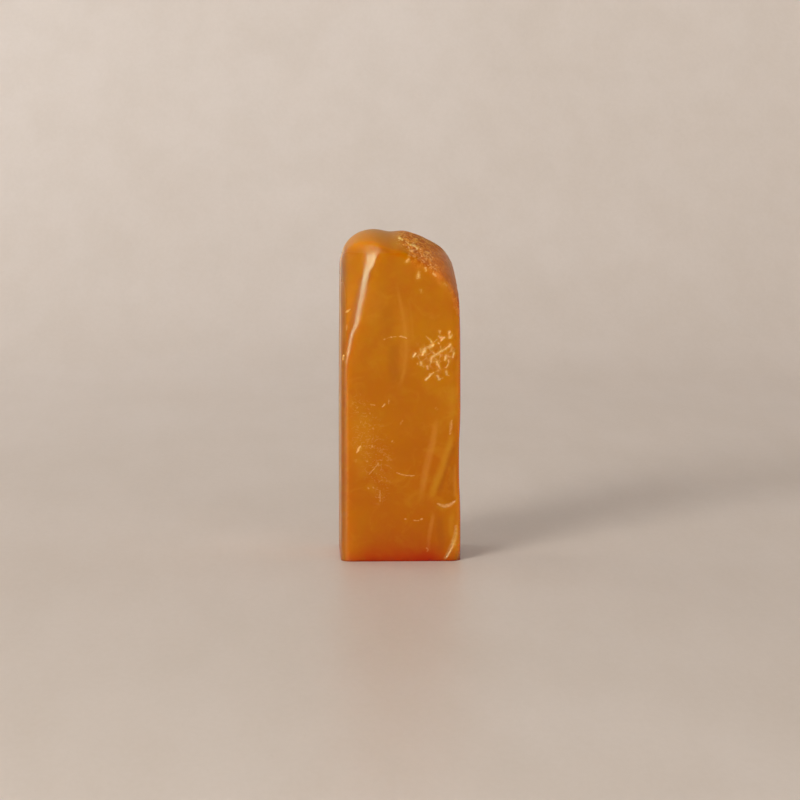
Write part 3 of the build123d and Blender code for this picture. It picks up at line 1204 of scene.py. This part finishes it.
def dried_paste():
    finish = Finish("dried_vermilion_paste")
    grain = finish.noise(finish.place(), size=0.8, detail=4.0)
    colour = finish.mix(grain.step(0.35, 0.65), paste_dark, paste_light)
    bump = finish.node("ShaderNodeBump", None, {"Strength": 0.5, "Distance": 0.1 * mm, "Height": grain})
    return finish.surface({"Base Color": colour, "Roughness": 0.7, "Normal": bump})


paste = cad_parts["seal_paste"]
paste.data.materials.clear()
paste.data.materials.append(dried_paste())
print("paste finish:", len(paste.data.materials[0].node_tree.nodes), "nodes")

# %% [markdown]
# ## Floor and backdrop
# The stone stands on a pale plaster sweep: a floor that curves up into a wall without a seam, as in a
# photographer's studio. It runs all around, so the stone has something pale to mirror on every side, and
# it stands higher at the back. The dark room above its rim draws the dark line under the stone's crown,
# which a band of painted shade deepens.

# %% Floor and backdrop
sweep_half_width = 620 * mm
sweep_half_depth = 780 * mm
sweep_back = 330 * mm
sweep_radius = 420 * mm
sweep_steps = 18
wall_height = 150 * mm
back_wall_height = 480 * mm
plaster_shade = (207, 194, 183)
plaster_pale = (215, 203, 194)


def pale_plaster():
    finish = Finish("pale_plaster")
    place = finish.place()
    clouds = finish.noise(place, size=90.0, detail=2.0)
    mottle = finish.noise(finish.stretched(place, (1, 5, 1)), size=14.0, detail=4.0, roughness=0.6)
    grain = finish.noise(finish.stretched(place, (1, 3, 1)), size=1.2, detail=3.0, roughness=0.7)
    patchy = clouds.step(0.3, 0.7) * 0.35 + mottle.step(0.3, 0.7) * 0.40 + grain.step(0.3, 0.7) * 0.25
    colour = finish.mix(patchy, plaster_shade, plaster_pale)
    bump = finish.node("ShaderNodeBump", None, {"Strength": 0.25, "Distance": 0.05 * mm, "Height": grain})
    return finish.surface({"Base Color": colour, "Roughness": 0.42, "Normal": bump})


bpy.ops.mesh.primitive_circle_add(vertices=128, radius=1, fill_type="NGON")
sweep = bpy.context.object
sweep.name = "studio_sweep"
edit(sweep, "EDGE", [True] * len(sweep.data.edges))
bpy.ops.transform.resize(value=(sweep_half_width, sweep_half_depth, 1))
reach = 0.0
rise = 0.0
for number in range(1, sweep_steps + 1):
    angle = math.pi / 2 * number / sweep_steps
    new_reach = sweep_radius * math.sin(angle)
    new_rise = sweep_radius * (1 - math.cos(angle))
    bpy.ops.mesh.extrude_edges_move(TRANSFORM_OT_translate={"value": (0, 0, new_rise - rise)})
    wider = (sweep_half_width + new_reach) / (sweep_half_width + reach)
    deeper = (sweep_half_depth + new_reach) / (sweep_half_depth + reach)
    bpy.ops.transform.resize(value=(wider, deeper, 1))
    reach = new_reach
    rise = new_rise
bpy.ops.mesh.extrude_edges_move(TRANSFORM_OT_translate={"value": (0, 0, wall_height)})
bpy.ops.mesh.select_all(action="SELECT")
bpy.ops.transform.translate(value=(0, sweep_back - sweep_half_depth, 0))
done()

places = places_of(sweep) * mm
on_back_rim = (places[:, 2] > sweep_radius + wall_height - hair) & (places[:, 1] > 0)
ends = np.array([edge.vertices[:] for edge in sweep.data.edges])
edit(sweep, "EDGE", on_back_rim[ends].all(1))
bpy.ops.mesh.extrude_edges_move(TRANSFORM_OT_translate={"value": (0, 0, back_wall_height)})
done()
bpy.ops.object.shade_smooth_by_angle(angle=math.radians(30))
sweep.data.materials.append(pale_plaster())
print("sweep made:", len(sweep.data.polygons), "faces")

# %% [markdown]
# ## Light
# The long bright streak down the broad corner is the mirror image of one soft, round-ended light at the
# front left. It leans, so the streak is narrow along the shaft and flares at the top. A wide panel hangs
# over the stone and lights the crown, a cooler fill from the front keeps the sides even, and one lamp
# brightens the backdrop. The last two are kept out of reflections, or they would add streaks of their own.

# %% Lights
lit_point = Vector((0, 0, 34)) * mm
backdrop_point = Vector((-240, 720, 270)) * mm


def soft_panel(name, azimuth, elevation, distance, width, height, watts, lean=0.0):
    """A soft panel that faces the block, never seen itself: angles in degrees, sizes in millimetres."""
    towards = direction(azimuth, elevation)
    bpy.ops.object.light_add(type="AREA", location=lit_point + towards * distance * mm)
    lamp = bpy.context.object
    lamp.name = name
    facing = towards.to_track_quat("Z", "Y") @ Quaternion((0, 0, 1), math.radians(-lean))
    lamp.rotation_euler = facing.to_euler()
    lamp.data.shape = "RECTANGLE"
    lamp.data.size = width * mm
    lamp.data.size_y = height * mm
    lamp.data.energy = watts
    lamp.visible_camera = False
    return lamp


key_panel = soft_panel("key_panel", -36, 15.5, 1200, width=488, height=710, watts=15.8, lean=25)
key_panel.data.shape = "ELLIPSE"
key_panel.data.color = (1.0, 0.98, 0.92)
soft_panel("overhead_panel", 180, 80, 1500, width=1600, height=1600, watts=4.4)
fill_panel = soft_panel("fill_panel", 15, 30, 1400, width=900, height=700, watts=3.0)
fill_panel.visible_glossy = False
fill_panel.data.color = (0.93, 0.98, 1.0)
backdrop_panel = soft_panel("backdrop_panel", -125, 35, 700, width=200, height=200, watts=1.6)
backdrop_panel.data.color = (0.83, 0.92, 1.0)
backdrop_panel.visible_glossy = False
from_backdrop = backdrop_panel.location - backdrop_point
backdrop_panel.rotation_euler = from_backdrop.to_track_quat("Z", "Y").to_euler()

world = bpy.data.worlds.new("studio_air")
bpy.context.scene.world = world
world.use_nodes = True
world.node_tree.nodes["Background"].inputs["Color"].default_value = (1.0, 1.0, 1.0, 1)
world.node_tree.nodes["Background"].inputs["Strength"].default_value = 0.01
bpy.context.scene.view_settings.view_transform = "Standard"
